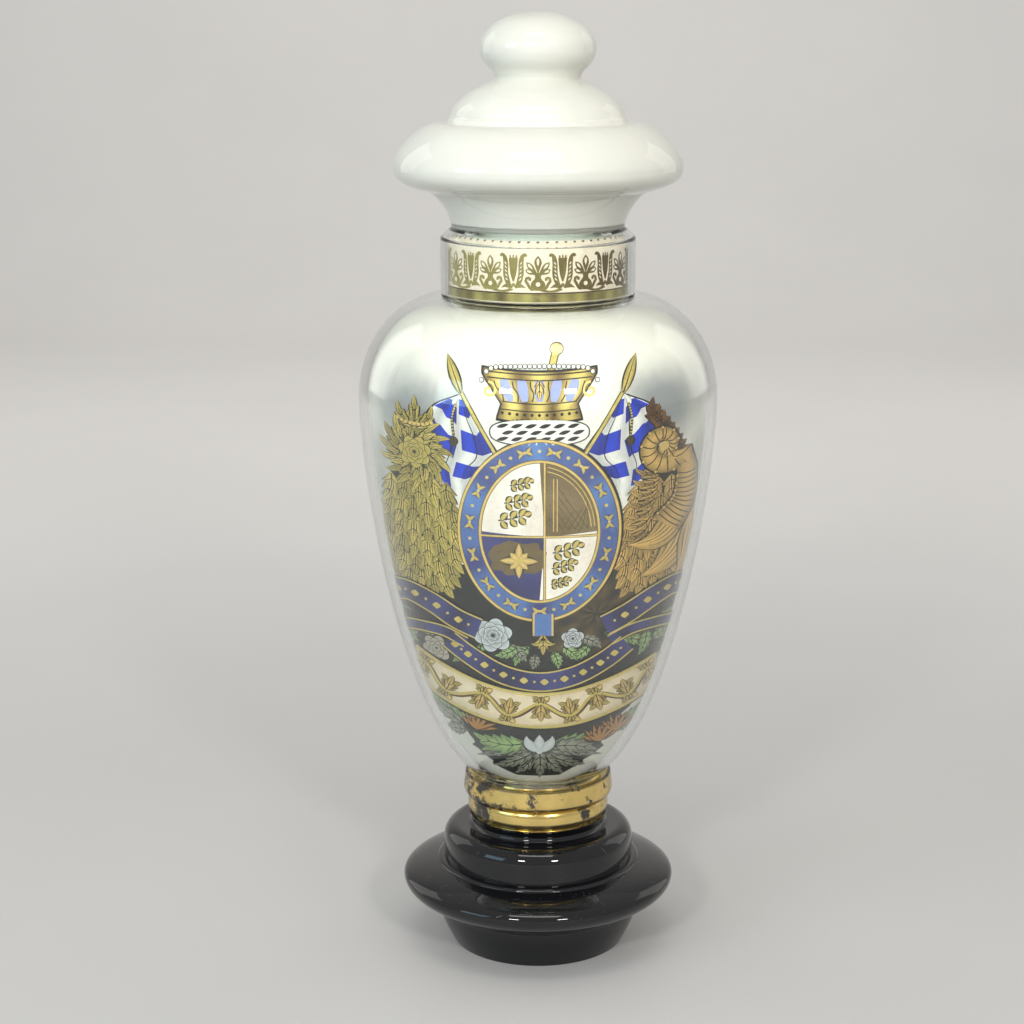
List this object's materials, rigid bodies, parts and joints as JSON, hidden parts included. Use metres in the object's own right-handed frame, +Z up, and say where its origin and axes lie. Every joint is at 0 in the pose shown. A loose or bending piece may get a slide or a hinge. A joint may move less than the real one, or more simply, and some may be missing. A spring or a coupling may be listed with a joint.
{
  "type": "apothecary show jar",
  "caption": "Tall covered display jar of clear glass, painted and gilded inside, with a neck band, a lift-off domed cover with a knob, and a black glass foot.",
  "frame": {"origin": "centre of the ring that the foot stands on, at table level", "axes": "+Z up along the axis that every piece is turned about; the painted front faces -Y"},
  "size_m": [0.2642, 0.2642, 0.7012],
  "materials": {
    "black_glass": "polished",
    "clear_glass": "polished",
    "white_paint": "satin",
    "cream_paint": "satin",
    "frieze_ground": "satin",
    "gold_leaf": "polished",
    "blue_enamel": "satin",
    "foliage_enamel": "satin",
    "dark_enamel": "satin",
    "plaster": "matte"
  },
  "bodies": {
    "jar": {"foot": "black_glass", "stem_collar_glass": "clear_glass", "stem_collar_gilding": "gold_leaf", "stem_bedding": "plaster", "jar_glass": "clear_glass", "jar_lining": "cream_paint", "neck_band_glass": "clear_glass", "neck_band_lining": "frieze_ground", "neck_band_bedding": "plaster"},
    "cover": {"cover_glass": "clear_glass", "cover_lining": "white_paint"}
  },
  "joints": [
    {"name": "cover_lift", "type": "slide", "parent": "jar", "child": "cover", "axis": [0, 0, 1], "range_m": [0, 0.12]}
  ]
}
